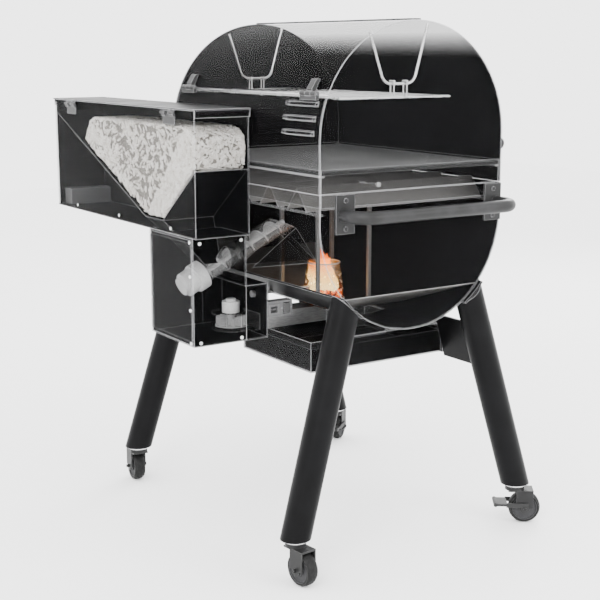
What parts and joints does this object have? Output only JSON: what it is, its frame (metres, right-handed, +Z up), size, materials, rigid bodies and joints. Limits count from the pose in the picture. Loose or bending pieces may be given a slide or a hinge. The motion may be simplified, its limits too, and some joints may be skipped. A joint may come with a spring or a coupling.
{
  "type": "pellet smoker grill",
  "caption": "Barrel-lidded wood pellet smoker grill with rear hopper, feed auger, fire pot, blower, ash drawer and splayed legs on swivel casters.",
  "frame": {"origin": "on the floor, in the middle of the overall footprint (length along X, depth along Y)", "axes": "+Z up; -Y is the front, where the lid handle and the ash drawer are; +X is the right of a person facing the front, towards the hopper's controller end"},
  "size_m": [1.148, 0.7727, 1.189],
  "materials": {
    "bowl_enamel": "semi-gloss black enamel",
    "bowl_end_enamel": "semi-gloss black enamel",
    "collar_steel": "heat-resistant black",
    "rear_wall_enamel": "semi-gloss black enamel",
    "grate_iron": "porcelain-coated, matt",
    "bar_steel": "heat-dulled",
    "deflector_steel": "heat-dulled",
    "pot_steel": "heat-tinted",
    "ember": "glowing charred pellets",
    "igniter_steel": "plain",
    "chute_steel": "plain",
    "tube_steel": "plain",
    "screw_steel": "plain",
    "motor_metal": "cast and turned",
    "hopper_paint": "powder-coated black",
    "funnel_steel": "satin black",
    "pellets": "compressed wood pellets",
    "cabinet_paint": "powder-coated black",
    "fan_plastic": "moulded",
    "impeller_metal": "plain",
    "fan_motor_metal": "plain",
    "duct_steel": "plain",
    "switch_plastic": "moulded",
    "controller_plastic": "moulded",
    "display_glass": "smoked",
    "dial_plastic": "moulded",
    "ash_steel": "satin black",
    "drawer_steel": "satin black",
    "slope_steel": "plain",
    "leg_paint": "powder-coated black",
    "plug_metal": "zinc-plated",
    "fork_metal": "black",
    "wheel_tyre": "hard rubber-like tread",
    "lever_plastic": "moulded",
    "handle_black": "satin black",
    "lid_enamel": "semi-gloss black enamel",
    "badge_metal": "satin, blank",
    "rack_wire": "plated wire",
    "hinge_steel": "black",
    "screw_zinc": "plated"
  },
  "bodies": {
    "cook_box": {"cook_bowl": "bowl_enamel", "bowl_ends": "bowl_end_enamel", "bowl_collar": "collar_steel", "rear_wall": "rear_wall_enamel", "cooking_grate_left": "grate_iron", "cooking_grate_right": "grate_iron", "flavour_bars": "bar_steel", "heat_deflector": "deflector_steel", "fire_pot": "pot_steel", "ember_bed": "ember", "igniter_rod": "igniter_steel", "pellet_chute": "chute_steel", "auger_tube": "tube_steel", "auger_gearmotor": "motor_metal", "hopper_case": "hopper_paint", "hopper_funnel": "funnel_steel", "pellet_charge": "pellets", "cabinet_shell": "cabinet_paint", "cabinet_rear_panel": "cabinet_paint", "fan_housing": "fan_plastic", "fan_motor": "fan_motor_metal", "air_duct": "duct_steel", "wiring_box": "switch_plastic", "power_inlet": "switch_plastic", "controller_module": "controller_plastic", "display_window": "display_glass", "ash_housing": "ash_steel", "grease_slopes": "slope_steel", "saddle_rails": "leg_paint", "legs": "leg_paint", "stem_plugs": "plug_metal", "front_apron": "leg_paint", "side_handle": "handle_black", "side_handle_brackets": "handle_black", "fixed_hinges": "hinge_steel", "panel_screws": "screw_zinc"},
    "lid": {"lid_shell": "lid_enamel", "lid_ends": "lid_enamel", "lid_crown_trim": "handle_black", "lid_handle": "handle_black", "badge_plate": "badge_metal", "warming_rack": "rack_wire", "rack_hangers": "rack_wire", "lid_hinge_leaves": "hinge_steel"},
    "hopper_lid": {"hopper_lid": "hopper_paint"},
    "ash_drawer": {"ash_drawer": "drawer_steel"},
    "auger": {"auger_screw": "screw_steel"},
    "blower_wheel": {"fan_impeller": "impeller_metal"},
    "dial": {"control_dial": "dial_plastic"},
    "rocker": {"rocker_switch": "switch_plastic"},
    "caster_front_left": {"caster_fork_front_left": "fork_metal"},
    "wheel_front_left": {"caster_wheel_front_left": "wheel_tyre"},
    "brake_front_left": {"brake_lever_front_left": "lever_plastic"},
    "caster_front_right": {"caster_fork_front_right": "fork_metal"},
    "wheel_front_right": {"caster_wheel_front_right": "wheel_tyre"},
    "brake_front_right": {"brake_lever_front_right": "lever_plastic"},
    "caster_rear_left": {"caster_fork_rear_left": "fork_metal"},
    "wheel_rear_left": {"caster_wheel_rear_left": "wheel_tyre"},
    "caster_rear_right": {"caster_fork_rear_right": "fork_metal"},
    "wheel_rear_right": {"caster_wheel_rear_right": "wheel_tyre"}
  },
  "joints": [
    {"name": "lid_hinge", "type": "hinge", "parent": "cook_box", "child": "lid", "pos_m": [-0.166, 0.2219, 1.0345], "axis": [-1, 0, 0], "range_deg": [0, 75]},
    {"name": "hopper_lid_hinge", "type": "hinge", "parent": "cook_box", "child": "hopper_lid", "pos_m": [0.174, 0.3824, 0.986], "axis": [-1, 0, 0], "range_deg": [0, 100]},
    {"name": "ash_drawer_slide", "type": "slide", "parent": "cook_box", "child": "ash_drawer", "axis": [0, -1, 0], "range_m": [0, 0.3]},
    {"name": "auger_turn", "type": "hinge", "parent": "cook_box", "child": "auger", "pos_m": [-0.104, 0.0854, 0.717], "axis": [0, 0.9048, -0.4258], "continuous": true},
    {"name": "blower_turn", "type": "hinge", "parent": "cook_box", "child": "blower_wheel", "pos_m": [-0.11, 0.2314, 0.49], "axis": [0, 0, 1], "continuous": true},
    {"name": "dial_turn", "type": "hinge", "parent": "cook_box", "child": "dial", "pos_m": [0.564, 0.3414, 0.733], "axis": [1, 0, 0], "continuous": true},
    {"name": "power_rocker", "type": "hinge", "parent": "cook_box", "child": "rocker", "pos_m": [-0.192, 0.1294, 0.53], "axis": [0, 1, 0], "range_deg": [-8, 8]},
    {"name": "caster_swivel_front_left", "type": "hinge", "parent": "cook_box", "child": "caster_front_left", "pos_m": [-0.496, -0.3316, 0.086], "axis": [0, 0, 1], "continuous": true},
    {"name": "wheel_spin_front_left", "type": "hinge", "parent": "caster_front_left", "child": "wheel_front_left", "pos_m": [-0.51044, -0.35077, 0.038], "axis": [0.7986, -0.6018, 0], "continuous": true},
    {"name": "brake_press_front_left", "type": "hinge", "parent": "caster_front_left", "child": "brake_front_left", "pos_m": [-0.51044, -0.35077, 0.038], "axis": [-0.7986, 0.6018, 0], "range_deg": [0, 12]},
    {"name": "caster_swivel_front_right", "type": "hinge", "parent": "cook_box", "child": "caster_front_right", "pos_m": [0.26, -0.3316, 0.086], "axis": [0, 0, 1], "continuous": true},
    {"name": "wheel_spin_front_right", "type": "hinge", "parent": "caster_front_right", "child": "wheel_front_right", "pos_m": [0.27444, -0.35077, 0.038], "axis": [0.7986, 0.6018, 0], "continuous": true},
    {"name": "brake_press_front_right", "type": "hinge", "parent": "caster_front_right", "child": "brake_front_right", "pos_m": [0.27444, -0.35077, 0.038], "axis": [-0.7986, -0.6018, 0], "range_deg": [0, 12]},
    {"name": "caster_swivel_rear_left", "type": "hinge", "parent": "cook_box", "child": "caster_rear_left", "pos_m": [-0.496, 0.3024, 0.086], "axis": [0, 0, 1], "continuous": true},
    {"name": "wheel_spin_rear_left", "type": "hinge", "parent": "caster_rear_left", "child": "wheel_rear_left", "pos_m": [-0.51987, 0.29989, 0.038], "axis": [0.1045, -0.9945, 0], "continuous": true},
    {"name": "caster_swivel_rear_right", "type": "hinge", "parent": "cook_box", "child": "caster_rear_right", "pos_m": [0.26, 0.3024, 0.086], "axis": [0, 0, 1], "continuous": true},
    {"name": "wheel_spin_rear_right", "type": "hinge", "parent": "caster_rear_right", "child": "wheel_rear_right", "pos_m": [0.28377, 0.29906, 0.038], "axis": [0.1392, 0.9903, 0], "continuous": true}
  ]
}
